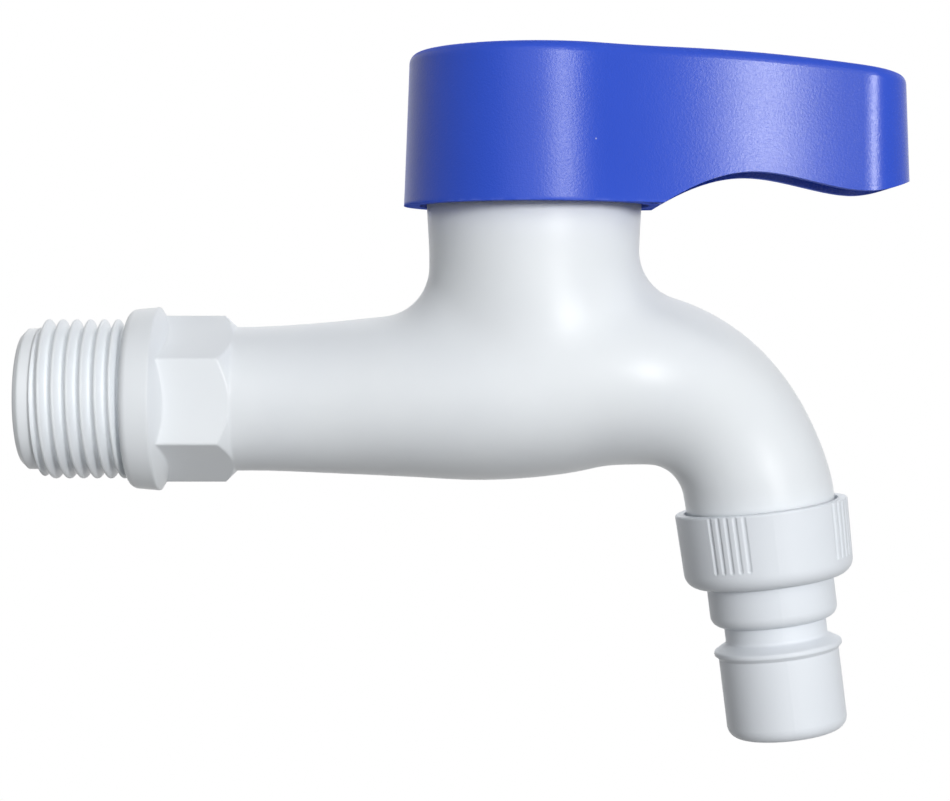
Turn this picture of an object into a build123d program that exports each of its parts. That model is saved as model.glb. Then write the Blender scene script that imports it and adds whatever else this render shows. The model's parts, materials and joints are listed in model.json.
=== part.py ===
from build123d import *
import math
import os

# Lengths are in millimetres and angles in degrees. The inlet lies on the X axis with its flange's
# shoulder at X = 0, the spout points to +X and down, and the valve axis stands upright.

# Clearances
thread_gap = 0.06           # radial play where threads stand as plain cylinders
running_gap = 0.05          # radial play of turned faces that run in each other
film_gap = 0.02             # play between flat faces that slide on each other
drop_in_gap = 0.15          # radial play of loose stacked rings and discs
cut_margin = 1.0            # cutting shapes reach this far past the faces they open
hub_r = 0.5                 # angular shapes start at this radius

# Inlet spigot
thread_d = 20.955           # over the crests of a G 1/2 parallel pipe thread
thread_length = 11.8
thread_lead = 0.7           # chamfer at the start of a thread
pilot_d = 18.5
pilot_length = 2.1
pilot_chamfer = 0.7
inlet_bore_d = 13.0

# Flange and hexagon
flange_d = 24.1
flange_width = 3.9
flange_rise = 0.35          # the rim grows by this much towards the hexagon
flange_round = 1.2
flange_back_slope = 1.8
hexagon_across_flats = 19.0
hexagon_corner_round = 0.3
hexagon_length = 8.5
hexagon_chamfer_length = 1.6

# Body run: a round tube that swells into the valve chamber and bends down into the spout
tube_d = 18.9
valve_x = 53.0
chamber_half_height = 11.5
chamber_bulge = 0.65        # the chamber stands out past the neck by this much on each side
chamber_rise = 0.75
spout_step = 0.4            # from the spout in to its thread
spout_reach = 29.9          # from the valve axis to the middle of the outlet's nut face
outlet_drop = 14.0          # from the inlet axis down to the same point
outlet_lean = 7.2
spine_climb = 19.0          # the spine leaves the chamber upwards at this angle
spine_start_pull = 19.0
spine_end_pull = 12.5
taper_start = 0.28          # share of the spout's length where it starts to narrow
taper_end = 0.78
run_shares = (0.0, 0.22, 0.42, 0.62, 0.82)                     # sections from hexagon to chamber
spout_shares = (0.06, 0.24, 0.42, 0.58, 0.73, 0.87, 1.0)       # sections from chamber to outlet

# Neck
neck_wall = 3.9             # round the chamber's bore
neck_flare = 0.3
neck_flare_start = 19.5
neck_flare_round = 30.0
neck_top = 27.0
neck_fillet = 6.5
neck_edge_round = 0.6

# Waterways
chamber_bore_d = 19.7
seat_height = 2.2
seat_wall = 2.8
seat_hole_d = 9.2
inlet_end_wall = 1.9        # between the end of the inlet bore and the chamber
low_channel_reach = 4.8     # past the valve axis
spout_thread_wall = 3.0
spout_bore_start = 4.0      # past the valve axis
spout_bore_bend = 20.0
spout_bore_corner_height = 0.0

# Outlet: threaded spout end, washer, coupling nut and hose nipple. Depths count down from the nut's face.
spout_shoulder_depth = 0.6
outlet_thread_play = 0.05   # the nipple's flange is this much inside the thread's crests
outlet_thread_length = 4.6
outlet_washer_thickness = 1.5
nut_wall = 2.15
nut_draft = 0.3
nut_height = 10.0
nut_round = 2.1
nut_face_round = 0.3
nut_face_play = 0.55        # round the spout
nut_face_recess_depth = 1.3
nut_floor = 1.8
grip_groups = 4
grip_grooves_in_group = 5
grip_groove_step = 6.1
grip_groove_d = 0.9
grip_groove_depth = 0.13
grip_length = 7.2
grip_turn = 31.0            # from the front to the middle of the first group
nipple_collar_d = 16.7
nipple_collar_end = 15.4
nipple_collar_round = 1.5
nipple_groove_depth = 1.65
nipple_groove_end = 17.6
nipple_groove_round = 0.5
nipple_rim_lip = 0.5        # stands out from the tail
nipple_rim_depth = 19.1
nipple_rim_land = 0.5
nipple_rim_round = 0.4
nipple_tail_step = 0.45     # from the collar in to the tail
nipple_end = 30.3
nipple_end_round = 1.7
nipple_wall = 1.1           # under the catch groove
nipple_flange_lip = 0.8

# Headwork: gasket, bonnet and the ceramic valve inside it. Heights count from the inlet axis.
gasket_thickness = 1.2
bonnet_collar_inset = 1.65  # from the neck's edge
bonnet_collar_thickness = 1.6
bonnet_hexagon = 17.0
bonnet_hexagon_height = 3.2
bonnet_thread_length = 9.8
cage_d = 16.4
cage_wall = 0.7
cage_lift = 0.4             # the cage stops this far above the seat
window_width = 8.0
window_height = 4.6
seat_ring_width = 2.5
seat_ring_thickness = 2.0
disc_thickness = 2.8
port_inner_r = 1.8
port_rim = 1.5              # of the disc outside its ports
port_angle = 76.0
key_width = 3.0
key_reach = 0.6
key_height = 1.8
handle_travel = 90.0
stop_tab_angle = 24.0
stop_play = 1.0
stop_land_inset = 0.8

# Spindle
foot_bar_width = 5.0
foot_bar_height = 2.2
foot_collar_thickness = 1.2
drive_lug_depth = 1.8
drive_lug_width = 2.0
thrust_washer_thickness = 0.8
shaft_inset = 2.2           # from the cage's bore in to the shaft
o_ring_groove_depth = 1.0
o_ring_heights = (18.2, 22.4)
o_ring_groove_width = 1.5
clip_groove_depth = 0.9
clip_thickness = 0.8
clip_lip = 1.2              # stands out from the shaft
clip_opening = 70.0
spline_teeth = 20
spline_step = 1.3           # from the shaft in to the teeth's tips
spline_depth = 0.4
spline_gap = 0.08
spline_tip_share = 0.32     # widths of a tooth as shares of its pitch
spline_root_share = 0.64
spline_length = 5.3

# Handle
handle_overlap = 1.75       # the handle's foot hangs this far over the neck
handle_height = 19.8
cap_clearance = 1.0         # round the neck
handle_draft = 2.3
flank_r = 55.0
flank_tangent = 31.0        # where the flank leaves the cap, from square to the lever
lever_reach = 49.1          # valve axis to the end of the lever
lever_corner_r = 6.5
lever_end_r = 25.0
lever_slope_start = 18.0
lever_end_drop = 3.35
arch_setback = 0.85         # the arch starts this far inside the cap's edge
arch_start_slope = 0.62
arch_crown_reach = 28.2
arch_crown_rise = 4.1       # above the handle's foot
arch_dip_reach = 42.6
arch_dip_rise = 1.7
arch_end_rise = 3.7
arch_end_slope = 0.45
handle_edge_round = 1.4
handle_wall = 2.0
cup_wall = 1.6              # between the cup and the hollow lever
boss_d = 12.8
boss_lift = 0.6             # clear of the spindle's clip
web_thickness = 1.4
web_lift = 0.1              # clear of the spindle's end
rib_thickness = 1.3
cup_rib_count = 4
cup_rib_depth = 4.0
lever_rib_depth = 6.0
lever_cross_ribs = 2

# Handle screw and its cover
screw_d = 4.0
screw_length = 11.0
screw_head_d = 6.4
screw_head_height = 1.9
screw_slot_width = 1.0
screw_slot_depth = 1.0
screw_washer_d = 7.8
screw_washer_thickness = 0.6
screw_recess_d = 8.4
cover_d = 11.0
cover_thickness = 1.2
cover_plug_wall = 0.8
cover_plug_depth = 1.0

# Diameters that follow from each other
neck_d = chamber_bore_d + 2 * neck_wall
neck_top_d = neck_d + 2 * neck_flare
chamber_half_width = neck_d / 2 + chamber_bulge
nipple_flange_d = nipple_collar_d + 2 * nipple_flange_lip
nipple_groove_d = nipple_collar_d - 2 * nipple_groove_depth
nipple_tail_d = nipple_collar_d - 2 * nipple_tail_step
nipple_rim_d = nipple_tail_d + 2 * nipple_rim_lip
nipple_bore_d = nipple_groove_d - 2 * nipple_wall
outlet_thread_d = nipple_flange_d + 2 * outlet_thread_play
spout_d = outlet_thread_d + 2 * spout_step
spout_bore_d = outlet_thread_d - 2 * spout_thread_wall
nut_d = outlet_thread_d + 2 * nut_wall
nut_foot_d = nut_d - 2 * nut_draft
nut_face_recess_d = spout_d + 2 * nut_face_play
nut_bore_d = outlet_thread_d + 2 * thread_gap
nut_hole_d = nipple_collar_d + 2 * running_gap
bonnet_collar_d = neck_top_d - 2 * bonnet_collar_inset
cage_bore_d = cage_d - 2 * cage_wall
disc_d = cage_bore_d - 2 * drop_in_gap
stop_land_d = cage_bore_d - 2 * stop_land_inset
port_outer_r = cage_bore_d / 2 - port_rim
drive_lug_inner_r = cage_bore_d / 2 - drive_lug_width
shaft_d = cage_bore_d - 2 * shaft_inset
o_ring_groove_d = shaft_d - 2 * o_ring_groove_depth
clip_groove_d = shaft_d - 2 * clip_groove_depth
clip_d = shaft_d + 2 * clip_lip
spline_tip_d = shaft_d - 2 * spline_step
spline_root_d = spline_tip_d - 2 * spline_depth
cap_r = neck_top_d / 2 + cap_clearance + handle_wall

# Heights of the stacked valve, from the seat upwards
seat_ring_top = seat_height + seat_ring_thickness
fixed_disc_top = seat_ring_top + disc_thickness
turning_disc_foot = fixed_disc_top + film_gap
turning_disc_top = turning_disc_foot + disc_thickness
foot_collar_foot = turning_disc_top + foot_bar_height
foot_collar_top = foot_collar_foot + foot_collar_thickness
thrust_washer_top = foot_collar_top + thrust_washer_thickness
bonnet_shoulder = thrust_washer_top + film_gap
bonnet_collar_foot = neck_top + gasket_thickness
bonnet_hexagon_foot = bonnet_collar_foot + bonnet_collar_thickness
bonnet_top = bonnet_hexagon_foot + bonnet_hexagon_height
clip_foot = bonnet_top + film_gap
clip_top = clip_foot + clip_thickness
boss_foot = clip_top + boss_lift
spindle_top = boss_foot + spline_length
web_foot = spindle_top + web_lift
web_top = web_foot + web_thickness
screw_head_foot = web_top + screw_washer_thickness
handle_foot = neck_top - handle_overlap
handle_top = handle_foot + handle_height
handle_ceiling = handle_top - handle_wall
lever_end_top = handle_top - lever_end_drop
cover_foot = handle_top - cover_thickness

# Depths of the stacked outlet, down from the nut's face
spout_end_depth = spout_shoulder_depth + outlet_thread_length
outlet_washer_end = spout_end_depth + outlet_washer_thickness
nut_floor_depth = nut_height - nut_floor

# Places that several pieces share
hexagon_end = flange_width + hexagon_length + hexagon_chamfer_length
outlet_down = Vector(math.sin(math.radians(outlet_lean)), 0, -math.cos(math.radians(outlet_lean)))
outlet_point = Vector(valve_x + spout_reach, 0, -outlet_drop)
outlet_frame = Plane(origin=outlet_point, x_dir=(0, -1, 0), z_dir=outlet_down)
valve_place = Pos(valve_x, 0, 0)


def profile(points, rounds=()):
    """Closed outline in the XZ plane, with some corners rounded: each round is (corner number, radius)."""
    face = make_face(Plane.XZ * Polyline(*points, close=True)).face()
    for corner, radius in rounds:
        place = Vector(points[corner][0], 0, points[corner][1])
        vertex = face.vertices().sort_by_distance(place)[0]
        face = face.fillet_2d(radius, [vertex])
    return face


def turned(points, rounds=()):
    """Solid of revolution about Z, from (radius, height) points."""
    return revolve(profile(points, rounds), Axis.Z)


def turned_along_x(points, rounds=()):
    """Solid of revolution about X, from (distance, radius) points."""
    return revolve(profile(points, rounds), Axis.X)


def rod(diameter, low, high):
    """Upright cylinder between two heights."""
    return Pos(0, 0, low) * Cylinder(diameter / 2, high - low, align=(Align.CENTER, Align.CENTER, Align.MIN))


def tube(outer_d, inner_d, low, high):
    """Upright ring between two heights."""
    return rod(outer_d, low, high) - rod(inner_d, low, high)


def block(x_size, y_size, low, high, x=0.0, y=0.0):
    """Upright box between two heights."""
    return Pos(x, y, low) * Box(x_size, y_size, high - low, align=(Align.CENTER, Align.CENTER, Align.MIN))


def sector(outer_r, inner_r, angle, middle, low, high):
    """Part of an upright ring that spans an angle about its middle direction."""
    steps = max(2, math.ceil(angle / 60))
    reach = outer_r / math.cos(math.radians(angle / steps / 2)) + cut_margin
    corners = [(0.0, 0.0)]
    for step in range(steps + 1):
        turn = math.radians(middle - angle / 2 + angle * step / steps)
        corners.append((reach * math.cos(turn), reach * math.sin(turn)))
    wedge = Pos(0, 0, low) * extrude(make_face(Polyline(*corners, close=True)), high - low)
    return wedge & tube(2 * outer_r, 2 * inner_r, low, high)


def ease(share):
    """Smooth step from 0 to 1."""
    share = min(1.0, max(0.0, share))
    return share * share * (3 - 2 * share)


def body_sections():
    """Oval sections of the body, from inside the hexagon to the end of the spout."""
    tube_r = tube_d / 2
    spout_r = spout_d / 2
    start = flange_width + hexagon_length / 2
    square_to_x = Plane(origin=(start, 0, 0), x_dir=(0, 1, 0), z_dir=(1, 0, 0))
    sections = [square_to_x * Ellipse(tube_r, tube_r)]
    for share in run_shares:
        swell = ease(share)
        x = hexagon_end + share * (valve_x - hexagon_end)
        place = Plane(origin=(x, 0, chamber_rise * swell), x_dir=(0, 1, 0), z_dir=(1, 0, 0))
        half_width = tube_r + (chamber_half_width - tube_r) * swell
        half_height = tube_r + (chamber_half_height - tube_r) * swell
        sections.append(place * Ellipse(half_width, half_height))
    chamber_point = Vector(valve_x, 0, chamber_rise)
    climb = Vector(math.cos(math.radians(spine_climb)), 0, math.sin(math.radians(spine_climb)))
    spine = Bezier(
        chamber_point,
        chamber_point + climb * spine_start_pull,
        outlet_point - outlet_down * spine_end_pull,
        outlet_point + outlet_down * spout_shoulder_depth,
    )
    for share in spout_shares:
        narrow = ease((share - taper_start) / (taper_end - taper_start))
        place = Plane(origin=spine @ share, x_dir=(0, 1, 0), z_dir=spine % share)
        half_width = chamber_half_width + (spout_r - chamber_half_width) * narrow
        half_height = chamber_half_height + (spout_r - chamber_half_height) * narrow
        sections.append(place * Ellipse(half_width, half_height))
    return sections


def body_skin():
    """Outside of the moulded body: run and neck with the fillet between them, hexagon, flange and threads."""
    run = loft(body_sections())
    neck = valve_place * turned(
        [
            (0, 0),
            (neck_d / 2, 0),
            (neck_d / 2, neck_flare_start),
            (neck_top_d / 2, handle_foot),
            (neck_top_d / 2, neck_top),
            (0, neck_top),
        ],
        [(2, neck_flare_round), (4, neck_edge_round)],
    )
    skin = run + neck
    skin = skin.fillet(neck_fillet, new_edges(run, neck, combined=skin))
    corner_r = hexagon_across_flats / math.sqrt(3)
    hexagon = Plane.YZ * RegularPolygon(hexagon_across_flats / 2, 6, major_radius=False, rotation=90)
    hexagon = fillet(hexagon.vertices(), hexagon_corner_round)
    hexagon_corners_end = flange_width + hexagon_length
    envelope = turned_along_x(
        [(0, 0), (0, corner_r), (hexagon_corners_end, corner_r), (hexagon_end, tube_d / 2), (hexagon_end, 0)]
    )
    skin += extrude(hexagon, hexagon_end) & envelope
    thread_r = thread_d / 2
    pilot_r = pilot_d / 2
    flange_r = flange_d / 2
    thread_start = -thread_length
    spigot_end = thread_start - pilot_length
    skin += turned_along_x(
        [
            (spigot_end, 0),
            (spigot_end, pilot_r - pilot_chamfer),
            (spigot_end + pilot_chamfer, pilot_r),
            (thread_start, pilot_r),
            (thread_start + thread_lead, thread_r),
            (0, thread_r),
            (0, flange_r - flange_rise),
            (flange_width, flange_r),
            (flange_width + flange_back_slope, hexagon_across_flats / 2 - flange_rise),
            (flange_width + flange_back_slope, 0),
        ],
        [(6, flange_round)],
    )
    thread_end = turned(
        [
            (0, 0),
            (outlet_thread_d / 2, 0),
            (outlet_thread_d / 2, spout_end_depth - thread_lead),
            (outlet_thread_d / 2 - thread_lead, spout_end_depth),
            (0, spout_end_depth),
        ]
    )
    return skin + outlet_frame.location * thread_end


def body_waterways():
    """Hollows of the body: inlet, channel under the seat, seat, valve chamber and spout."""
    bore_r = inlet_bore_d / 2
    spigot_end = -(thread_length + pilot_length)
    inlet_end = valve_x - chamber_bore_d / 2 - inlet_end_wall
    channel_end = valve_x + low_channel_reach
    channel_roof = seat_height - seat_wall
    mouth = spigot_end - cut_margin
    inlet = turned_along_x([(mouth, 0), (mouth, bore_r), (inlet_end, bore_r), (inlet_end, 0)])
    channel = turned_along_x([(0, 0), (0, bore_r), (channel_end, bore_r), (channel_end, 0)])
    channel &= block(2 * channel_end, inlet_bore_d, channel_roof - inlet_bore_d, channel_roof)
    seat_hole = valve_place * rod(seat_hole_d, channel_roof - cut_margin, seat_height + cut_margin)
    chamber = valve_place * rod(chamber_bore_d, seat_height, neck_top + cut_margin)
    bore_start = Vector(valve_x + spout_bore_start, 0, seat_height + spout_bore_d / 2)
    corner_rise = (spout_bore_corner_height - outlet_point.Z) / outlet_down.Z
    corner = outlet_point + outlet_down * corner_rise
    bore_end = outlet_point + outlet_down * (spout_end_depth + cut_margin)
    path = FilletPolyline(bore_start, corner, bore_end, radius=spout_bore_bend)
    section = Plane(origin=path @ 0, z_dir=path % 0) * Circle(spout_bore_d / 2)
    return inlet + channel + seat_hole + chamber + sweep(section, path)


def make_tap_body():
    return body_skin() - body_waterways()


def make_bonnet_gasket():
    gasket = tube(bonnet_collar_d, chamber_bore_d, neck_top, bonnet_collar_foot)
    return valve_place * gasket


def make_bonnet():
    """Screwed headwork: hexagon, collar, thread and the slotted cage that holds the discs."""
    thread_r = chamber_bore_d / 2 - thread_gap
    cage_foot = seat_height + cage_lift
    thread_foot = bonnet_collar_foot - gasket_thickness - bonnet_thread_length
    bonnet = turned(
        [
            (0, cage_foot),
            (cage_d / 2, cage_foot),
            (cage_d / 2, thread_foot),
            (thread_r, thread_foot + thread_lead),
            (thread_r, bonnet_collar_foot),
            (bonnet_collar_d / 2, bonnet_collar_foot),
            (bonnet_collar_d / 2, bonnet_hexagon_foot),
            (0, bonnet_hexagon_foot),
        ]
    )
    head = RegularPolygon(bonnet_hexagon / 2, 6, major_radius=False)
    bonnet += Pos(0, 0, bonnet_hexagon_foot) * extrude(head, bonnet_hexagon_height)
    bonnet -= rod(cage_bore_d, cage_foot, foot_collar_foot + film_gap)
    bonnet -= rod(stop_land_d, foot_collar_foot, bonnet_shoulder)
    free_angle = handle_travel + stop_tab_angle + 2 * stop_play
    free_middle = -stop_tab_angle / 2 - stop_play + free_angle / 2
    free_foot = foot_collar_foot - cut_margin
    bonnet -= sector(cage_bore_d / 2, hub_r, free_angle, free_middle, free_foot, bonnet_shoulder)
    bonnet -= rod(shaft_d + 2 * running_gap, cage_foot, bonnet_top)
    window_foot = turning_disc_foot + film_gap
    bonnet -= block(window_width, 2 * cage_d, window_foot, window_foot + window_height)
    key_top = seat_ring_top + key_height
    slot_width = key_width + 2 * drop_in_gap
    bonnet -= block(2 * cage_d, slot_width, cage_foot, key_top + drop_in_gap)
    return valve_place * bonnet


def make_seat_ring():
    ring = tube(disc_d, disc_d - 2 * seat_ring_width, seat_height, seat_ring_top)
    return valve_place * ring


def disc_blank(low, high, port_middle):
    """Ceramic disc with two opposite ports."""
    disc = rod(disc_d, low, high)
    for side in (0, 180):
        disc -= sector(port_outer_r, port_inner_r, port_angle, port_middle + side, low, high)
    return disc


def make_fixed_disc():
    disc = disc_blank(seat_ring_top, fixed_disc_top, 90)
    keys = block(cage_bore_d + 2 * key_reach, key_width, seat_ring_top, seat_ring_top + key_height)
    keys -= rod(2 * port_outer_r + cut_margin, seat_ring_top, fixed_disc_top)
    return valve_place * (disc + keys)


def make_turning_disc():
    disc = disc_blank(turning_disc_foot, turning_disc_top, 0)
    notch_foot = turning_disc_top - drive_lug_depth - drop_in_gap
    notch_width = key_width + 2 * drop_in_gap
    notch = block(notch_width, 2 * cage_d, notch_foot, turning_disc_top)
    notch -= rod(2 * (drive_lug_inner_r - drop_in_gap), notch_foot, turning_disc_top)
    return valve_place * (disc - notch)


def spline_section(extra):
    """Toothed outline of the spindle's head, or of its socket with some extra room."""
    points = []
    tip = spline_tip_share / 2
    root = spline_root_share / 2
    corners = ((-root, spline_root_d), (-tip, spline_tip_d), (tip, spline_tip_d), (root, spline_root_d))
    for tooth in range(spline_teeth):
        for offset, diameter in corners:
            turn = 2 * math.pi * (tooth + offset) / spline_teeth
            radius = diameter / 2 + extra
            points.append((radius * math.cos(turn), radius * math.sin(turn)))
    return make_face(Polyline(*points, close=True))


def make_spindle():
    """Spindle: drive foot with its stop tab, shaft with two ring grooves and a clip groove, splined head."""
    land_r = stop_land_d / 2 - drop_in_gap
    reach_r = disc_d / 2
    spindle = rod(shaft_d, foot_collar_foot, boss_foot - film_gap)
    spindle += rod(2 * land_r, foot_collar_foot, foot_collar_top)
    spindle += sector(reach_r, hub_r, stop_tab_angle, 0, foot_collar_foot, foot_collar_top)
    bar = block(foot_bar_width, 2 * reach_r, turning_disc_top, foot_collar_foot)
    bar &= rod(2 * reach_r, turning_disc_top, foot_collar_foot)
    spindle += bar
    lugs = block(key_width, 2 * reach_r, turning_disc_top - drive_lug_depth, turning_disc_top)
    lugs &= tube(2 * reach_r, 2 * drive_lug_inner_r, turning_disc_top - drive_lug_depth, turning_disc_top)
    spindle += lugs
    spindle += Pos(0, 0, boss_foot - 2 * film_gap) * extrude(spline_section(0), spline_length + 2 * film_gap)
    for height in o_ring_heights:
        low = height - o_ring_groove_width / 2
        spindle -= tube(shaft_d + cut_margin, o_ring_groove_d, low, low + o_ring_groove_width)
    spindle -= tube(shaft_d + cut_margin, clip_groove_d, clip_foot - film_gap, clip_top + film_gap)
    spindle -= rod(screw_d, screw_head_foot - screw_length - cut_margin, spindle_top)
    return valve_place * spindle


def make_thrust_washer():
    outer_d = stop_land_d - 2 * drop_in_gap
    washer = tube(outer_d, shaft_d + 2 * running_gap, foot_collar_top, thrust_washer_top)
    return valve_place * washer


def make_spindle_o_ring(height):
    inner_r = o_ring_groove_d / 2 + film_gap
    outer_r = shaft_d / 2 + running_gap - film_gap
    ring = Torus((inner_r + outer_r) / 2, (outer_r - inner_r) / 2)
    return valve_place * Pos(0, 0, height) * ring


def make_spindle_clip():
    clip = tube(clip_d, clip_groove_d + 2 * film_gap, clip_foot, clip_top)
    clip -= sector(clip_d, hub_r, clip_opening, 180, clip_foot, clip_top)
    return valve_place * clip


def meeting_point(centre_a, radius_a, centre_b, radius_b):
    """Crossing of two circles that lies to the right of the line from a to b."""
    apart = centre_b - centre_a
    along = (radius_a**2 - radius_b**2 + apart.length**2) / (2 * apart.length)
    aside = math.sqrt(radius_a**2 - along**2)
    ahead = apart.normalized()
    return centre_a + ahead * along + Vector(-ahead.Y, ahead.X) * aside


def lever_outline(inset):
    """Plan of the handle: round cap, hollow flanks and a blunt rounded end, drawn in by an inset."""
    cap = cap_r - inset
    flank = flank_r + inset
    corner = lever_corner_r - inset
    end = lever_end_r - inset
    turn = math.radians(flank_tangent)
    flank_centre = Vector(math.sin(turn), math.cos(turn)) * (cap + flank)
    end_centre = Vector(lever_reach - lever_end_r, 0)
    corner_centre = meeting_point(flank_centre, flank + corner, end_centre, end - corner)
    cap_tangent = flank_centre.normalized() * cap
    flank_tangent_point = corner_centre + (flank_centre - corner_centre).normalized() * corner
    end_tangent = end_centre + (corner_centre - end_centre).normalized() * end
    flank_middle_ray = (cap_tangent + flank_tangent_point) * 0.5 - flank_centre
    flank_middle = flank_centre + flank_middle_ray.normalized() * flank
    corner_middle_ray = (flank_tangent_point + end_tangent) * 0.5 - corner_centre
    corner_middle = corner_centre + corner_middle_ray.normalized() * corner
    half = [
        ThreePointArc(cap_tangent, flank_middle, flank_tangent_point),
        ThreePointArc(flank_tangent_point, corner_middle, end_tangent),
    ]
    cap_arc = ThreePointArc(cap_tangent, (-cap, 0), (cap_tangent.X, -cap_tangent.Y))
    end_arc = ThreePointArc(end_tangent, (end_centre.X + end, 0), (end_tangent.X, -end_tangent.Y))
    other_half = [mirror(edge, Plane.XZ) for edge in half]
    return make_face([cap_arc, end_arc, *half, *other_half])


def under_crown(lower):
    """Everything below the handle's crown, lowered by a wall: level over the cap, falling along the lever."""
    back = -2 * cap_r
    level = handle_top - lower
    end_x = lever_reach + cut_margin
    end_z = lever_end_top - lower
    slope_start = (lever_slope_start, level)
    edges = [
        Line((back, 0), (back, level)),
        Line((back, level), slope_start),
        TangentArc(slope_start, (end_x, end_z), tangent=(1, 0)),
        Line((end_x, end_z), (end_x, 0)),
        Line((end_x, 0), (back, 0)),
    ]
    side = make_face([Plane.XZ * edge for edge in edges])
    return extrude(side, cap_r * 2, both=True)


def lever_arch():
    """Room under the lever: an arch behind the cap and a dip before the end."""
    start = (cap_r - arch_setback, handle_foot - film_gap)
    crown = (arch_crown_reach, handle_foot + arch_crown_rise)
    dip = (arch_dip_reach, handle_foot + arch_dip_rise)
    end = (lever_reach + cut_margin, handle_foot + arch_end_rise)
    low = handle_foot - cut_margin
    edges = [
        Spline(start, crown, dip, end, tangents=((1, arch_start_slope), (1, arch_end_slope))),
        Line(end, (end[0], low)),
        Line((end[0], low), (start[0], low)),
        Line((start[0], low), start),
    ]
    side = make_face([Plane.XZ * edge for edge in edges])
    return extrude(side, cap_r * 2, both=True)


def drafted(face, low):
    """Solid that rises from a plan outline and narrows with the handle's draft."""
    return extrude(Pos(0, 0, low) * face, handle_top + cut_margin - low, taper=handle_draft)


def make_handle():
    """Hollow moulded lever: cap with a splined boss and ribs in its cup, and a ribbed hollow lever."""
    shell = drafted(lever_outline(0), handle_foot) & under_crown(0)
    crown_low = lever_end_top - cut_margin
    crown_edges = shell.edges().filter_by_position(Axis.Z, crown_low, handle_top + cut_margin)
    crown_edges = crown_edges.filter_by(lambda edge: abs(edge.tangent_at(0.5).Z) < 0.2)
    shell = shell.fillet(handle_edge_round, crown_edges)
    cup = drafted(Circle(cap_r - handle_wall).face(), handle_foot) & under_crown(handle_wall)
    hollow = drafted(lever_outline(handle_wall), handle_foot) & under_crown(handle_wall)
    hollow_start = cap_r - handle_wall + cup_wall
    hollow -= rod(2 * hollow_start, handle_foot - cut_margin, handle_top + cut_margin)
    spine_low = lever_end_top - handle_wall - lever_rib_depth
    hollow -= block(2 * lever_reach, rib_thickness, spine_low, handle_top)
    hollow_length = lever_reach - handle_wall - hollow_start
    for number in range(lever_cross_ribs):
        rib_x = hollow_start + hollow_length * (number + 1) / (lever_cross_ribs + 1)
        hollow -= block(rib_thickness, 2 * cap_r, spine_low, handle_top, x=rib_x)
    cup -= rod(boss_d, boss_foot, handle_top)
    for number in range(cup_rib_count // 2):
        rib = block(2 * cap_r, rib_thickness, handle_ceiling - cup_rib_depth, handle_top)
        cup -= Rot(0, 0, 45 + 90 * number) * rib
    shell = shell - cup - hollow - lever_arch()
    shell -= Pos(0, 0, boss_foot) * extrude(spline_section(spline_gap), web_foot - boss_foot)
    shell -= rod(screw_d + 4 * drop_in_gap, web_foot - cut_margin, web_top + cut_margin)
    shell -= rod(screw_recess_d, web_top, handle_top + cut_margin)
    shell -= rod(cover_d + 2 * running_gap, cover_foot, handle_top + cut_margin)
    return valve_place * shell


def make_screw_washer():
    return valve_place * tube(screw_washer_d, screw_d + 2 * running_gap, web_top, screw_head_foot)


def make_handle_screw():
    """Slotted cheese-head screw into the end of the spindle."""
    head_top = screw_head_foot + screw_head_height
    screw = rod(screw_head_d, screw_head_foot, head_top)
    screw += rod(screw_d - 2 * running_gap, screw_head_foot - screw_length, screw_head_foot)
    screw -= block(2 * screw_head_d, screw_slot_width, head_top - screw_slot_depth, head_top)
    return valve_place * screw


def make_screw_cover():
    """Flush press-in cover with a short plug in the screw recess."""
    plug_d = screw_recess_d - 2 * running_gap
    cover = rod(cover_d, cover_foot, handle_top)
    cover += tube(plug_d, plug_d - 2 * cover_plug_wall, cover_foot - cover_plug_depth, cover_foot)
    return valve_place * cover


def make_outlet_washer():
    washer = tube(nipple_flange_d, nipple_bore_d, spout_end_depth, outlet_washer_end)
    return outlet_frame.location * washer


def make_coupling_nut():
    """Union nut with groups of fine grip grooves round its rim."""
    nut = turned(
        [
            (nut_hole_d / 2, nut_floor_depth),
            (nut_bore_d / 2, nut_floor_depth),
            (nut_bore_d / 2, nut_face_recess_depth),
            (nut_face_recess_d / 2, nut_face_recess_depth),
            (nut_face_recess_d / 2, 0),
            (nut_d / 2, 0),
            (nut_foot_d / 2, nut_height),
            (nut_hole_d / 2, nut_height),
        ],
        [(5, nut_face_round), (6, nut_round)],
    )
    lean = math.degrees(math.atan2((nut_d - nut_foot_d) / 2, nut_height))
    groove_axis_r = nut_d / 2 - grip_groove_depth + grip_groove_d / 2
    cutter = rod(grip_groove_d, -cut_margin, grip_length)
    cutter += Pos(0, 0, grip_length) * Sphere(grip_groove_d / 2)
    cutter = Pos(groove_axis_r, 0, 0) * Rot(0, -lean, 0) * cutter
    grooves = []
    for group in range(grip_groups):
        for number in range(grip_grooves_in_group):
            aside = (number - (grip_grooves_in_group - 1) / 2) * grip_groove_step
            turn = grip_turn + group * 360 / grip_groups + aside
            grooves.append(Rot(0, 0, turn) * cutter)
    return outlet_frame.location * (nut - grooves)


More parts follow.
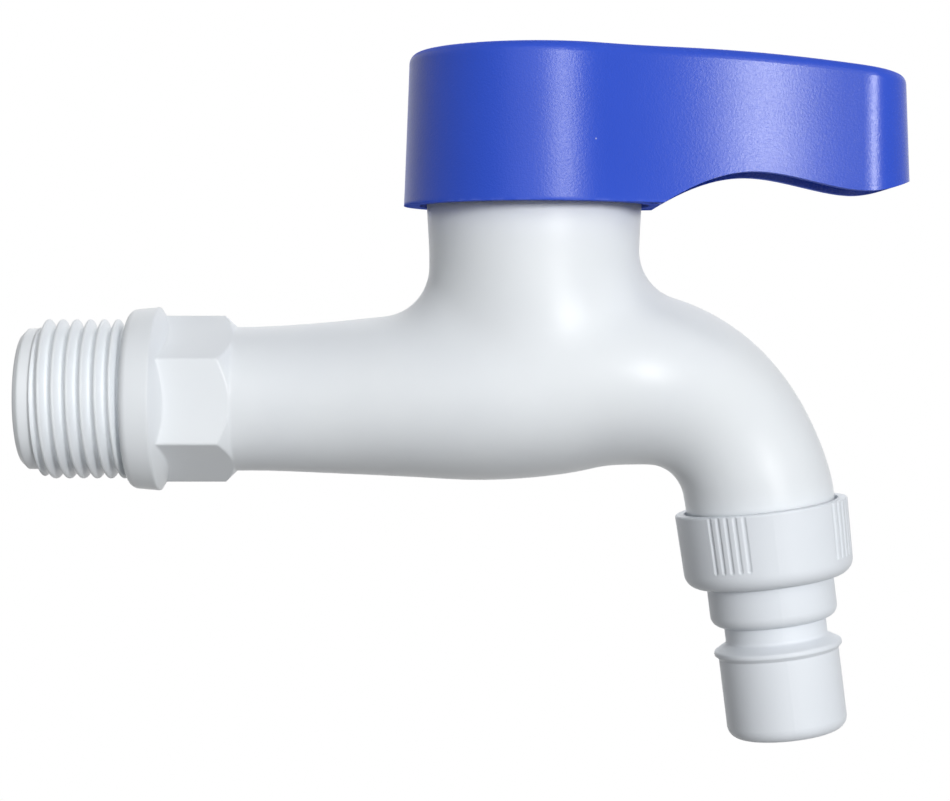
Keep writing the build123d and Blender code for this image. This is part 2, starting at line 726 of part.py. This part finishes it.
def make_hose_nipple():
    """Quick-connect hose nipple: flange held by the nut, collar, catch groove, rim and tail."""
    bore_r = nipple_bore_d / 2
    rim_r = nipple_rim_d / 2
    rim_foot = nipple_rim_depth - nipple_rim_land
    tail_start = nipple_rim_depth + nipple_rim_land
    nipple = turned(
        [
            (bore_r, outlet_washer_end),
            (nipple_flange_d / 2, outlet_washer_end),
            (nipple_flange_d / 2, nut_floor_depth - film_gap),
            (nipple_collar_d / 2, nut_floor_depth - film_gap),
            (nipple_collar_d / 2, nipple_collar_end),
            (nipple_groove_d / 2, nipple_collar_end),
            (nipple_groove_d / 2, nipple_groove_end),
            (rim_r, rim_foot),
            (rim_r, nipple_rim_depth),
            (nipple_tail_d / 2, tail_start),
            (nipple_tail_d / 2, nipple_end),
            (bore_r, nipple_end),
        ],
        [(4, nipple_collar_round), (6, nipple_groove_round), (7, nipple_rim_round), (10, nipple_end_round)],
    )
    return outlet_frame.location * nipple


pieces = {
    "tap_body": make_tap_body(),
    "bonnet_gasket": make_bonnet_gasket(),
    "bonnet": make_bonnet(),
    "seat_ring": make_seat_ring(),
    "fixed_disc": make_fixed_disc(),
    "turning_disc": make_turning_disc(),
    "spindle": make_spindle(),
    "thrust_washer": make_thrust_washer(),
    "spindle_o_ring_lower": make_spindle_o_ring(o_ring_heights[0]),
    "spindle_o_ring_upper": make_spindle_o_ring(o_ring_heights[1]),
    "spindle_clip": make_spindle_clip(),
    "handle": make_handle(),
    "screw_washer": make_screw_washer(),
    "handle_screw": make_handle_screw(),
    "screw_cover": make_screw_cover(),
    "outlet_washer": make_outlet_washer(),
    "coupling_nut": make_coupling_nut(),
    "hose_nipple": make_hose_nipple(),
}

os.makedirs("parts", exist_ok=True)
for name, piece in pieces.items():
    export_step(piece, os.path.join("parts", name + ".step"))
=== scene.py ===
import json
import math

import bpy
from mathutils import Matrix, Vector


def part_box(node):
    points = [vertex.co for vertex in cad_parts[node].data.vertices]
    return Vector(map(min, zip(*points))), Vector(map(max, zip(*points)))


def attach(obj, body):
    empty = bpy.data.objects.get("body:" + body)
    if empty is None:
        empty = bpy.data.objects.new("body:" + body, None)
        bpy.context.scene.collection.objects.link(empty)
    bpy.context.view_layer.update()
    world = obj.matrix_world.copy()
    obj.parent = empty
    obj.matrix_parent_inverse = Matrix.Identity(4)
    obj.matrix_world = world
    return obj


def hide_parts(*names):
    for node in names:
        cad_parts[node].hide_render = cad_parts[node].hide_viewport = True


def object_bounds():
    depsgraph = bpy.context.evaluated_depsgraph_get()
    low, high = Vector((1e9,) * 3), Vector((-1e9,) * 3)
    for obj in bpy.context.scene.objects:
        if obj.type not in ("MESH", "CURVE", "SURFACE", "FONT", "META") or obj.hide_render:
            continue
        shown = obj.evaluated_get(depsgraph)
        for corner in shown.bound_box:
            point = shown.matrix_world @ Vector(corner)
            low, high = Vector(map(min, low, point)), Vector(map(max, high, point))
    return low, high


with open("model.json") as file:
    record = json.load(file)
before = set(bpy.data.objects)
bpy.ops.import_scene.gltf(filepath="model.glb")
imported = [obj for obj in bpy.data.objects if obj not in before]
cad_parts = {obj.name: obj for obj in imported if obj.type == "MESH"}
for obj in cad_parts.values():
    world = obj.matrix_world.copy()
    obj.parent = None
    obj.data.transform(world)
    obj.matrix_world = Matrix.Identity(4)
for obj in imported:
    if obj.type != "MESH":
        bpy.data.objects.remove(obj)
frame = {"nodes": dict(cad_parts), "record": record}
cad_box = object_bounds()
nodes = frame["nodes"]
MM = 0.001

# Inlet thread: a right-hand G 1/2 pipe thread with rounded crests and roots
thread_pitch = 1.814 * MM
thread_crest_r = 10.4775 * MM
thread_height = 1.162 * MM
thread_round = 0.249 * MM
thread_half_angle = math.radians(27.5)
thread_crest_on_top = -10.684 * MM      # where a crest crosses the top of the spigot
thread_steps = 96
thread_reach = 2.5 * MM                 # the helix is drawn this far past both ends
pilot_r = 9.25 * MM
pilot_chamfer = 0.7 * MM
spigot_end = -13.9 * MM
thread_start = -11.8 * MM
thread_lead = 0.7 * MM
bore_r = 6.5 * MM
flange_bite = 0.5 * MM                  # the spigot is let into the flange by this much
bore_step = 0.05 * MM                   # the spigot is this much narrower inside than the body

# Outlet thread: a right-hand groove under the union nut, measured along the leaning outlet
outlet_point = Vector((82.9, 0.0, -14.0)) * MM
outlet_lean = math.radians(7.2)
outlet_crest_r = 9.2 * MM
outlet_pitch = 1.5 * MM
outlet_turns = 4                        # the last turn runs out past the spigot's end
groove_start = 1.35 * MM
groove_depth = 0.6 * MM
groove_width = 1.25 * MM
groove_root = 0.25 * MM
groove_margin = 0.1 * MM                # the cutter stands this much out from the crests

# Meshes
smooth_angle = math.radians(28)
weld_distance = 0.002 * MM
cut_tolerance = weld_distance / 10

# Camera, from the photograph: 7.6 pixels a millimetre in the tap's middle plane
picture_width = 950
pixels_per_metre = 7600
camera_place = Vector((45.92, -285.0, 11.03)) * MM
camera_target = Vector((45.26, 0.0, -0.22)) * MM
sensor_width = 36.0

# Stage
floor_height = -0.13
floor_size = 8.0
floor_cuts = 3
floor_near = 0.12                       # out to here the floor keeps its shadow
floor_far = 0.3                         # from here on it is plain white
floor_near_glow = 0.45
ambient_level = 0.12
tap_middle = (cad_box[0] + cad_box[1]) / 2

# Colours, linear
body_colour = (0.82, 0.855, 0.885, 1)
body_shade_colour = (0.79, 0.825, 0.86, 1)
nozzle_colour = (0.785, 0.825, 0.875, 1)
nozzle_shade_colour = (0.755, 0.795, 0.845, 1)
dust_colour = (0.32, 0.29, 0.24, 1)
handle_colour = (0.020, 0.075, 0.58, 1)
handle_deep_colour = (0.017, 0.069, 0.55, 1)
handle_pale_colour = (0.20, 0.27, 0.75, 1)
lint_colour = (0.62, 0.66, 0.80, 1)
headwork_colour = (0.52, 0.53, 0.54, 1)
headwork_deep_colour = (0.46, 0.47, 0.48, 1)
spindle_colour = (0.74, 0.72, 0.66, 1)
spindle_deep_colour = (0.68, 0.66, 0.59, 1)
rubber_colour = (0.014, 0.014, 0.015, 1)
rubber_bloom_colour = (0.035, 0.035, 0.037, 1)
ceramic_colour = (0.82, 0.81, 0.78, 1)
ceramic_warm_colour = (0.78, 0.76, 0.71, 1)
steel_colour = (0.62, 0.61, 0.60, 1)
steel_dull_colour = (0.52, 0.51, 0.50, 1)
paper_colour = (0.86, 0.86, 0.86, 1)
paper_shade_colour = (0.84, 0.84, 0.84, 1)
floor_bounce_colour = (0.25, 0.25, 0.25, 1)
white = (1, 1, 1, 1)

# Specks
speck_core = 0.4                        # this much of a speck's radius is solid, and the rest fades

# White finishes
white_ior = 1.34
dust_cover = 0.55                       # how far a dust speck hides the plastic
body_edge = 0.5 * MM                    # the mouldings' edges look this round
nozzle_edge = 0.25 * MM
edge_samples = 6
flow_round = 9.0 * MM                   # neck, run and spout flow into each other over this much
flow_samples = 12
flow_start = 22.0 * MM                  # it comes in along the tube between these two
flow_end = 34.0 * MM
flow_low = -13.0 * MM                   # and fades out between these, above the outlet thread
flow_high = -9.0 * MM

# Blue finish
blue_ior = 1.40
lint_cover = 0.8
scuff_cover = 0.16
worn_cover = 0.22
handle_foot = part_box("handle")[0].z
handle_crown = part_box("handle")[1].z
scuff_reach = 2.2 * MM                  # scuffs lie on this much of the crown
rim_reach = 0.45 * MM                   # the foot is worn over this much
lever_polish_start = 58.0 * MM          # fingers polish the lever from here outwards
lever_polish_end = 86.0 * MM
facing_down = (-0.75, -0.35)            # upward part of the surface direction, underneath
facing_up = (0.3, 0.8)                  # and on top

# Steel finish
valve_x = 53.0 * MM


# Modelling steps

def deselect_all():
    bpy.ops.object.select_all(action="DESELECT")


def take_in_hand(piece):
    """Makes one piece the only selected one."""
    deselect_all()
    piece.select_set(True)
    bpy.context.view_layer.objects.active = piece


def edit_all(piece):
    """Opens a piece in edit mode with everything selected."""
    take_in_hand(piece)
    bpy.ops.object.mode_set(mode="EDIT")
    bpy.ops.mesh.select_mode(type="VERT")
    bpy.ops.mesh.select_all(action="SELECT")


def end_edit():
    bpy.ops.object.mode_set(mode="OBJECT")


def apply_modifier(piece, kind, **settings):
    take_in_hand(piece)
    modifier = piece.modifiers.new(kind.lower(), kind)
    for key, value in settings.items():
        setattr(modifier, key, value)
    bpy.ops.object.modifier_apply(modifier=modifier.name)


def combine(piece, operation, tool):
    """Joins a piece with a tool, or cuts it, and takes the tool away."""
    apply_modifier(piece, "BOOLEAN", operation=operation, solver="EXACT", object=tool)
    mesh = tool.data
    bpy.data.objects.remove(tool)
    bpy.data.meshes.remove(mesh)


def drawn_line(name, points):
    """Open line of edges through points, drawn by extruding one vertex."""
    deselect_all()
    bpy.ops.mesh.primitive_plane_add(size=MM, location=(0, 0, 0))
    piece = bpy.context.object
    piece.name = name
    edit_all(piece)
    bpy.ops.mesh.merge(type="CENTER")
    bpy.ops.transform.translate(value=points[0])
    for start, end in zip(points, points[1:]):
        bpy.ops.mesh.extrude_vertices_move(TRANSFORM_OT_translate={"value": end - start})
    end_edit()
    return piece


def outline_points(pairs):
    """Points of an outline of (x, radius) pairs, drawn beside the X axis."""
    return [Vector((x, radius, 0)) for x, radius in pairs]


def turned_about_x(name, pairs, steps):
    """Closed ring turned about the inlet axis from a closed outline of (x, radius) pairs."""
    outline = outline_points(pairs)
    piece = drawn_line(name, outline + outline[:1])
    edit_all(piece)
    bpy.ops.mesh.spin(steps=steps, angle=2 * math.pi, center=(0, 0, 0), axis=(1, 0, 0))
    bpy.ops.mesh.select_all(action="SELECT")
    bpy.ops.mesh.remove_doubles(threshold=weld_distance)
    bpy.ops.mesh.normals_make_consistent(inside=False)
    end_edit()
    return piece


def screwed_about_x(name, points, pitch, turns, **settings):
    """Welded right-hand helix about the X axis, screwed from a line."""
    piece = drawn_line(name, points)
    apply_modifier(
        piece, "SCREW", axis="X", angle=2 * math.pi, screw_offset=pitch, iterations=turns,
        steps=thread_steps, render_steps=thread_steps, **settings,
    )
    edit_all(piece)
    bpy.ops.mesh.remove_doubles(threshold=weld_distance)
    end_edit()
    return piece


def face_outwards(piece):
    edit_all(piece)
    bpy.ops.mesh.normals_make_consistent(inside=False)
    end_edit()


def cut_off(piece, x, keep):
    """Cuts a piece square to the inlet axis, closes the cut and keeps the side towards +X or -X."""
    edit_all(piece)
    bpy.ops.mesh.bisect(
        plane_co=(x, 0, 0), plane_no=(keep, 0, 0), use_fill=True, clear_inner=True,
        threshold=cut_tolerance,
    )
    end_edit()


def copy_of(node_name, piece_name):
    """Welded copy of a node's mesh, as a piece of its own."""
    piece = bpy.data.objects.new(piece_name, nodes[node_name].data.copy())
    bpy.context.scene.collection.objects.link(piece)
    edit_all(piece)
    bpy.ops.mesh.customdata_custom_splitnormals_clear()
    bpy.ops.mesh.remove_doubles(threshold=weld_distance)
    end_edit()
    return piece


# Body with its threads

def thread_profile():
    """Half outline of one thread, from crest to root, as (distance, depth) pairs."""
    round_reach = thread_round * math.cos(thread_half_angle)
    round_drop = thread_round * (1 - math.sin(thread_half_angle))
    half_reach = round_reach / 2
    half_drop = thread_round - math.sqrt(thread_round**2 - half_reach**2)
    half_pitch = thread_pitch / 2
    return [
        (0, 0),
        (half_reach, half_drop),
        (round_reach, round_drop),
        (half_pitch - round_reach, thread_height - round_drop),
        (half_pitch - half_reach, thread_height - half_drop),
        (half_pitch, thread_height),
    ]


def make_thread_rod():
    """Solid helical rod, longer than the spigot at both ends."""
    down = [(distance, thread_crest_r - depth) for distance, depth in thread_profile()]
    up = [(-distance, radius) for distance, radius in reversed(down)]
    quarter_rise = thread_pitch / 4
    first_crest = thread_crest_on_top - quarter_rise
    turns_before = math.ceil((first_crest - spigot_end + thread_reach) / thread_pitch)
    turns = math.ceil((flange_bite - spigot_end + 2 * thread_reach) / thread_pitch) + 1
    start = first_crest - turns_before * thread_pitch
    points = outline_points([(start + distance, radius) for distance, radius in up + down[1:]])
    rod = screwed_about_x(
        "thread_rod", points, thread_pitch, turns, use_merge_vertices=True, merge_threshold=weld_distance,
    )
    cut_off(rod, spigot_end - thread_pitch / 2, keep=1)
    cut_off(rod, flange_bite + thread_pitch / 2, keep=-1)
    face_outwards(rod)
    return rod


def make_spigot():
    """Threaded spigot: its turned blank with pilot, lead and bore, cut down to the thread."""
    blank = [
        (spigot_end, bore_r - bore_step),
        (spigot_end, pilot_r - pilot_chamfer),
        (spigot_end + pilot_chamfer, pilot_r),
        (thread_start, pilot_r),
        (thread_start + thread_lead, thread_crest_r),
        (flange_bite, thread_crest_r),
        (flange_bite, bore_r - bore_step),
    ]
    spigot = turned_about_x("spigot", blank, thread_steps)
    combine(spigot, "INTERSECT", make_thread_rod())
    return spigot


def make_groove_cutter():
    """Helical cutter of the outlet thread, screwed about the X axis and then leant to the outlet."""
    outer_r = outlet_crest_r + groove_margin
    root_r = outlet_crest_r - groove_depth
    outline = outline_points([
        (groove_start - groove_width / 2, outer_r),
        (groove_start - groove_root / 2, root_r),
        (groove_start + groove_root / 2, root_r),
        (groove_start + groove_width / 2, outer_r),
    ])
    cutter = screwed_about_x("groove_cutter", outline + outline[:1], outlet_pitch, outlet_turns)
    edit_all(cutter)
    bpy.ops.mesh.fill_holes(sides=len(outline))
    end_edit()
    face_outwards(cutter)
    cutter.location = outlet_point
    cutter.rotation_euler = (0, math.pi / 2 - outlet_lean, 0)
    bpy.ops.object.transform_apply(location=True, rotation=True, scale=False)
    return cutter


def make_tap_body():
    """Moulded body with real threads in place of the plain ones."""
    body = copy_of("tap_body", "tap_body_threaded")
    cut_off(body, -weld_distance, keep=1)
    combine(body, "UNION", make_spigot())
    combine(body, "DIFFERENCE", make_groove_cutter())
    take_in_hand(body)
    bpy.ops.object.shade_smooth_by_angle(angle=smooth_angle)
    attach(body, "body")
    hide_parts("tap_body")
    return body


# Shader language

class Field:
    """A socket in a material's node tree. Sums on fields add Math nodes."""

    def __init__(self, tree, socket=None):
        self.tree = tree
        self.socket = socket

    def node(self, kind, settings=None, inputs=None, output=0):
        """Adds a node with its settings and its inputs, and returns one of its outputs."""
        made = self.tree.nodes.new(kind)
        for key, value in (settings or {}).items():
            setattr(made, key, value)
        for key, value in (inputs or {}).items():
            if isinstance(value, Field):
                self.tree.links.new(value.socket, made.inputs[key])
            else:
                made.inputs[key].default_value = value
        return None if output is None else Field(self.tree, made.outputs[output])

    def math(self, operation, first, second=0.0):
        return self.node("ShaderNodeMath", {"operation": operation}, {0: first, 1: second})

    def __add__(self, other):
        return self.math("ADD", self, other)

    def __radd__(self, other):
        return self.math("ADD", other, self)

    def __sub__(self, other):
        return self.math("SUBTRACT", self, other)

    def __rsub__(self, other):
        return self.math("SUBTRACT", other, self)

    def __mul__(self, other):
        return self.math("MULTIPLY", self, other)

    def __rmul__(self, other):
        return self.math("MULTIPLY", other, self)

    def above(self, level):
        return self.math("GREATER_THAN", self, level)

    def axis(self, letter):
        """One coordinate of a place or a direction."""
        return self.node("ShaderNodeSeparateXYZ", None, {"Vector": self}, letter)

    def spread(self, low, high):
        """Stretches values between low and high over 0 to 1, and stops there."""
        settings = {"clamp": True, "interpolation_type": "SMOOTHSTEP"}
        return self.node("ShaderNodeMapRange", settings, {"Value": self, "From Min": low, "From Max": high})

    def noise(self, size, detail=2.0, roughness=0.5):
        """Cloudy noise with features of about this size in metres, read at this field's coordinates."""
        inputs = {"Vector": self, "Scale": 1 / size, "Detail": detail, "Roughness": roughness}
        return self.node("ShaderNodeTexNoise", None, inputs)

    def specks(self, spacing, size, share):
        """Rare round specks: a share of the cells of this spacing holds one of this size."""
        inputs = {"Vector": self, "Scale": 1 / spacing, "Randomness": 1.0}
        reach = self.node("ShaderNodeTexVoronoi", None, inputs, "Distance")
        pick = self.node("ShaderNodeTexVoronoi", None, inputs, "Color")
        chance = self.node("ShaderNodeSeparateColor", None, {"Color": pick})
        dots = 1 - reach.spread(speck_core * size / spacing, size / spacing)
        return dots * chance.above(1 - share)

    def tint(self, first, second):
        """Colour between two, by this field."""
        return self.node("ShaderNodeMix", {"data_type": "RGBA"}, {0: self, 6: first, 7: second}, 2)

    def lean(self, first, second):
        """Direction between two, by this field."""
        return self.node("ShaderNodeMix", {"data_type": "VECTOR"}, {0: self, 4: first, 5: second}, 1)

    def rounded(self, radius, samples):
        """Surface direction with edges and hollows softened over this radius in metres."""
        return self.node("ShaderNodeBevel", {"samples": samples}, {"Radius": radius})

    def bump(self, depth, strength, below=None):
        """Surface direction from this field as a height, where one unit is this depth in metres."""
        inputs = {"Height": self, "Distance": depth, "Strength": strength}
        if below:
            inputs["Normal"] = below
        return self.node("ShaderNodeBump", None, inputs)


# Materials

def start_material(name):
    """New empty material, with a field to add its nodes from and its object coordinates."""
    material = bpy.data.materials.new(name)
    material.use_nodes = True
    material.node_tree.nodes.clear()
    canvas = Field(material.node_tree)
    return material, canvas, canvas.node("ShaderNodeTexCoord", None, None, "Object")


def lay_surface(canvas, inputs):
    """Ends a material with one glossy surface."""
    shader = canvas.node("ShaderNodeBsdfPrincipled", None, inputs)
    canvas.node("ShaderNodeOutputMaterial", None, {"Surface": shader}, None)


def white_plastic(name, bright, shaded, gloss, grain_size, grain_depth, edge, flows=False):
    """Moulded white plastic: faint clouding, flow marks, dust specks and a fine skin."""
    material, canvas, place = start_material(name)
    cloud = place.noise(size=16 * MM, detail=3.0)
    flow_marks = place.noise(size=2.6 * MM)
    grain = place.noise(size=grain_size)
    dust = place.specks(spacing=6.5 * MM, size=0.17 * MM, share=0.06)
    colour = cloud.spread(0.32, 0.72).tint(bright, shaded)
    colour = (dust * dust_cover).tint(colour, dust_colour)
    rough = gloss + flow_marks * 0.04 + grain * 0.03 + dust * 0.3
    soft = canvas.rounded(edge, edge_samples)
    if flows:
        reach = place.axis("X").spread(flow_start, flow_end) * place.axis("Z").spread(flow_low, flow_high)
        soft = reach.lean(soft, canvas.rounded(flow_round, flow_samples))
    skin = grain.bump(grain_depth, strength=0.6, below=soft)
    lay_surface(canvas, {"Base Color": colour, "Roughness": rough, "Normal": skin, "IOR": white_ior})
    return material


def blue_plastic(name):
    """Matt moulded blue plastic: fine grain, lint specks, scuffed crown, worn foot and polished lever."""
    material, canvas, place = start_material(name)
    height = place.axis("Z")
    cloud = place.noise(size=18 * MM, detail=3.0)
    grain = place.noise(size=0.3 * MM, detail=3.0, roughness=0.6)
    pores = place.noise(size=0.14 * MM)
    lint = place.specks(spacing=5.5 * MM, size=0.2 * MM, share=0.07)
    crown = height.spread(handle_crown - scuff_reach, handle_crown)
    scuffs = place.noise(size=1.1 * MM, detail=4.0, roughness=0.65).spread(0.62, 0.74) * crown
    rim = 1 - height.spread(handle_foot, handle_foot + rim_reach)
    worn = rim * place.noise(size=1.6 * MM, detail=3.0).spread(0.35, 0.7)
    colour = cloud.spread(0.3, 0.7).tint(handle_colour, handle_deep_colour)
    colour = (scuffs * scuff_cover + worn * worn_cover).tint(colour, handle_pale_colour)
    colour = (lint * lint_cover).tint(colour, lint_colour)
    polish = place.axis("X").spread(lever_polish_start, lever_polish_end)
    upward = canvas.node("ShaderNodeTexCoord", None, None, "Normal").axis("Z")
    under = 1 - upward.spread(*facing_down)
    top = upward.spread(*facing_up)
    rough = 0.26 - polish * 0.07 + grain * 0.12 + cloud * 0.03
    rough = rough + scuffs * 0.1 + rim * 0.4 + under * 0.5 + top * 0.3
    skin = ((grain + pores * 0.5) * (1 - polish * 0.25)).bump(0.034 * MM, strength=0.8)
    lay_surface(canvas, {"Base Color": colour, "Roughness": rough, "Normal": skin, "IOR": blue_ior})
    return material


def dull_plastic(name, plain, deep):
    """Plain moulded plastic of the inner pieces, with a dull skin."""
    material, canvas, place = start_material(name)
    cloud = place.noise(size=5 * MM, detail=3.0)
    grain = place.noise(size=0.3 * MM)
    lay_surface(canvas, {
        "Base Color": cloud.spread(0.3, 0.7).tint(plain, deep),
        "Roughness": 0.42 + grain * 0.12,
        "Normal": grain.bump(0.006 * MM, strength=0.6),
    })
    return material


def black_rubber(name):
    """Seal rubber with a dusty bloom."""
    material, canvas, place = start_material(name)
    bloom = place.noise(size=2.2 * MM, detail=4.0, roughness=0.65)
    grain = place.noise(size=0.12 * MM)
    lay_surface(canvas, {
        "Base Color": bloom.spread(0.4, 0.8).tint(rubber_colour, rubber_bloom_colour),
        "Roughness": 0.55 + bloom * 0.25,
        "Normal": grain.bump(0.008 * MM, strength=0.8),
    })
    return material


def lapped_ceramic(name):
    """Ceramic discs: pale, very fine and polished."""
    material, canvas, place = start_material(name)
    cloud = place.noise(size=3 * MM, detail=3.0)
    grain = place.noise(size=0.08 * MM)
    lay_surface(canvas, {
        "Base Color": cloud.spread(0.3, 0.7).tint(ceramic_colour, ceramic_warm_colour),
        "Roughness": 0.16 + grain * 0.12,
        "Normal": grain.bump(0.001 * MM, strength=0.5),
    })
    return material


def turned_steel(name):
    """Stainless steel with the fine rings of turning round the valve axis."""
    material, canvas, place = start_material(name)
    centred = canvas.node("ShaderNodeMapping", None, {"Vector": place, "Location": (-valve_x, 0, 0)})
    rings = canvas.node(
        "ShaderNodeTexWave", {"wave_type": "RINGS", "rings_direction": "Z"},
        {"Vector": centred, "Scale": 900.0, "Distortion": 1.5, "Detail": 2.0},
    )
    tarnish = place.noise(size=1.4 * MM, detail=3.0)
    lay_surface(canvas, {
        "Base Color": tarnish.spread(0.3, 0.75).tint(steel_colour, steel_dull_colour),
        "Roughness": 0.26 + rings * 0.1 + tarnish * 0.08,
        "Metallic": 1.0,
        "Normal": rings.bump(0.004 * MM, strength=0.5),
    })
    return material


def dress(piece, material):
    piece.data.materials.clear()
    piece.data.materials.append(material)


# Stage, light and camera

def seen_straight(canvas):
    """One where the camera, a mirror or a clear surface looks at the background, and nought for light."""
    camera_ray = canvas.node("ShaderNodeLightPath", None, None, "Is Camera Ray")
    glossy_ray = canvas.node("ShaderNodeLightPath", None, None, "Is Glossy Ray")
    clear_ray = canvas.node("ShaderNodeLightPath", None, None, "Is Transmission Ray")
    return canvas.math("MINIMUM", camera_ray + glossy_ray + clear_ray, 1.0)


def make_floor():
    """Pale floor that reads white round the tap and keeps its shadow."""
    deselect_all()
    bpy.ops.mesh.primitive_plane_add(size=floor_size, location=(0, 0, 0))
    floor = bpy.context.object
    floor.name = "floor"
    edit_all(floor)
    bpy.ops.transform.translate(value=(0, 0, floor_height))
    bpy.ops.mesh.subdivide(number_cuts=floor_cuts)
    end_edit()
    material, canvas, place = start_material("floor_paper")
    away = canvas.node("ShaderNodeVectorMath", {"operation": "LENGTH"}, {0: place}, "Value")
    glowing = floor_near_glow + away.spread(floor_near, floor_far) * (1 - floor_near_glow)
    fibre = place.noise(size=3 * MM).tint(paper_colour, paper_shade_colour)
    paper = canvas.node("ShaderNodeBsdfDiffuse", None, {"Color": fibre})
    dim = canvas.node("ShaderNodeBsdfDiffuse", None, {"Color": floor_bounce_colour})
    glow = canvas.node("ShaderNodeEmission", None, {"Color": white, "Strength": 1.0})
    part_lit = canvas.node("ShaderNodeMixShader", None, {0: glowing, 1: paper, 2: glow})
    surface = canvas.node("ShaderNodeMixShader", None, {0: seen_straight(canvas), 1: dim, 2: part_lit})
    canvas.node("ShaderNodeOutputMaterial", None, {"Surface": surface}, None)
    dress(floor, material)


def make_world():
    """Even soft light from all round, seen as plain white."""
    world = bpy.data.worlds.new("studio")
    bpy.context.scene.world = world
    world.use_nodes = True
    world.node_tree.nodes.clear()
    canvas = Field(world.node_tree)
    soft = canvas.node("ShaderNodeBackground", None, {"Color": white, "Strength": ambient_level})
    plain = canvas.node("ShaderNodeBackground", None, {"Color": white, "Strength": 1.0})
    surface = canvas.node("ShaderNodeMixShader", None, {0: seen_straight(canvas), 1: soft, 2: plain})
    canvas.node("ShaderNodeOutputWorld", None, {"Surface": surface}, None)


def softbox(name, azimuth, elevation, distance, width, height, power, glints=True):
    """Area lamp that faces the tap from a direction: azimuth to the right of the camera, elevation up."""
    turn = math.radians(azimuth)
    rise = math.radians(elevation)
    away = Vector((math.sin(turn) * math.cos(rise), -math.cos(turn) * math.cos(rise), math.sin(rise)))
    lamp = bpy.data.lights.new(name, "AREA")
    lamp.shape = "RECTANGLE"
    lamp.size = width
    lamp.size_y = height
    lamp.energy = power
    holder = bpy.data.objects.new(name, lamp)
    bpy.context.scene.collection.objects.link(holder)
    holder.location = tap_middle + away * distance
    holder.visible_camera = False
    holder.visible_glossy = glints
    holder.rotation_euler = away.to_track_quat("Z", "Y").to_euler()


def make_camera():
    view = bpy.data.cameras.new("camera")
    view.sensor_fit = "HORIZONTAL"
    view.sensor_width = sensor_width
    aim = camera_target - camera_place
    view.lens = sensor_width * pixels_per_metre * aim.length / picture_width
    view.clip_start = 0.01
    view.clip_end = 50.0
    holder = bpy.data.objects.new("camera", view)
    bpy.context.scene.collection.objects.link(holder)
    holder.location = camera_place
    holder.rotation_euler = aim.to_track_quat("-Z", "Y").to_euler()
    bpy.context.scene.camera = holder


# Putting it together
finishes = {
    "body_white": white_plastic(
        "body_white_plastic", body_colour, body_shade_colour, gloss=0.27,
        grain_size=0.26 * MM, grain_depth=0.002 * MM, edge=body_edge, flows=True,
    ),
    "nozzle_white": white_plastic(
        "nozzle_white_plastic", nozzle_colour, nozzle_shade_colour, gloss=0.36,
        grain_size=0.2 * MM, grain_depth=0.003 * MM, edge=nozzle_edge,
    ),
    "handle_blue": blue_plastic("handle_blue_plastic"),
    "headwork_plastic": dull_plastic("headwork_grey_plastic", headwork_colour, headwork_deep_colour),
    "spindle_plastic": dull_plastic("spindle_ivory_plastic", spindle_colour, spindle_deep_colour),
    "seal_rubber": black_rubber("seal_black_rubber"),
    "disc_ceramic": lapped_ceramic("disc_lapped_ceramic"),
    "fastener_steel": turned_steel("fastener_turned_steel"),
}
for part in frame["record"]["subparts"]:
    dress(nodes[part["node"]], finishes[part["material_slot"]])
dress(make_tap_body(), finishes["body_white"])
make_floor()
make_world()
softbox("key_light", azimuth=25, elevation=12, distance=2.5, width=0.5, height=0.5, power=33.0)
softbox("front_fill", azimuth=8, elevation=7, distance=1.2, width=1.5, height=2.0, power=12.2)
softbox("back_fill", azimuth=180, elevation=35, distance=1.2, width=0.9, height=0.7, power=11.0, glints=False)
make_camera()
bpy.context.scene.view_settings.view_transform = "Standard"
